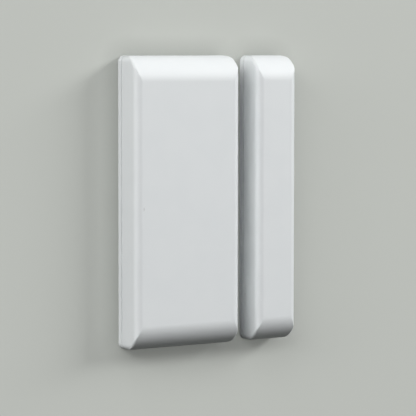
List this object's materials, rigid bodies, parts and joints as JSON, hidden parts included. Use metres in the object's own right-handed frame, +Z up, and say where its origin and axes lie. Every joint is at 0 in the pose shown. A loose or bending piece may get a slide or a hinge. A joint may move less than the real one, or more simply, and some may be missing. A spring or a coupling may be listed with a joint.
{
  "type": "wireless reed switch",
  "caption": "Slim white wireless reed switch: a flat transmitter housing with rounded ends beside its narrower magnet unit, both made to be fixed upright.",
  "frame": {"origin": "middle of the transmitter's back face", "axes": "+Y out of the back faces into the surface that carries the pair, -Y towards the front, +Z up along the housings, +X from the transmitter towards the magnet unit"},
  "size_m": [0.0425, 0.008, 0.065],
  "materials": {
    "white_housing": "satin white injection moulding",
    "board": "green solder resist",
    "cell_steel": "nickel-plated steel",
    "spring_steel": "nickel-plated spring steel",
    "contact_brass": "gold-flashed sheet",
    "capsule_glass": "clear greenish glass",
    "reed_metal": "tinned nickel-iron",
    "copper_wire": "bare copper wire",
    "black_moulding": "black epoxy moulding",
    "can_metal": "metal lid on ceramic",
    "capacitor_moulding": "yellow epoxy moulding",
    "led_lens": "clear lens on white body",
    "switch_moulding": "dark moulding with metal frame",
    "capacitor_ceramic": "tan ceramic with tinned ends",
    "resistor_ceramic": "black film on ceramic",
    "inductor_ceramic": "grey ferrite with tinned ends",
    "magnet_plating": "nickel-plated neodymium magnet"
  },
  "bodies": {
    "root": {"sensor_base": "white_housing", "sensor_cover": "white_housing", "magnet_base": "white_housing", "magnet_cover": "white_housing", "circuit_board": "board", "coin_cell": "cell_steel", "cell_contact": "contact_brass", "cell_clip": "spring_steel", "reed_glass": "capsule_glass", "reed_upper": "reed_metal", "reed_lower": "reed_metal", "antenna_wire": "copper_wire", "controller_chip": "black_moulding", "radio_chip": "black_moulding", "crystal": "can_metal", "antenna_filter": "can_metal", "bulk_capacitor": "capacitor_moulding", "protection_diode": "black_moulding", "status_led": "led_lens", "learn_switch": "switch_moulding", "tamper_switch": "switch_moulding", "chip_capacitors": "capacitor_ceramic", "chip_resistors": "resistor_ceramic", "chip_inductors": "inductor_ceramic", "bar_magnet": "magnet_plating"}
  },
  "joints": []
}
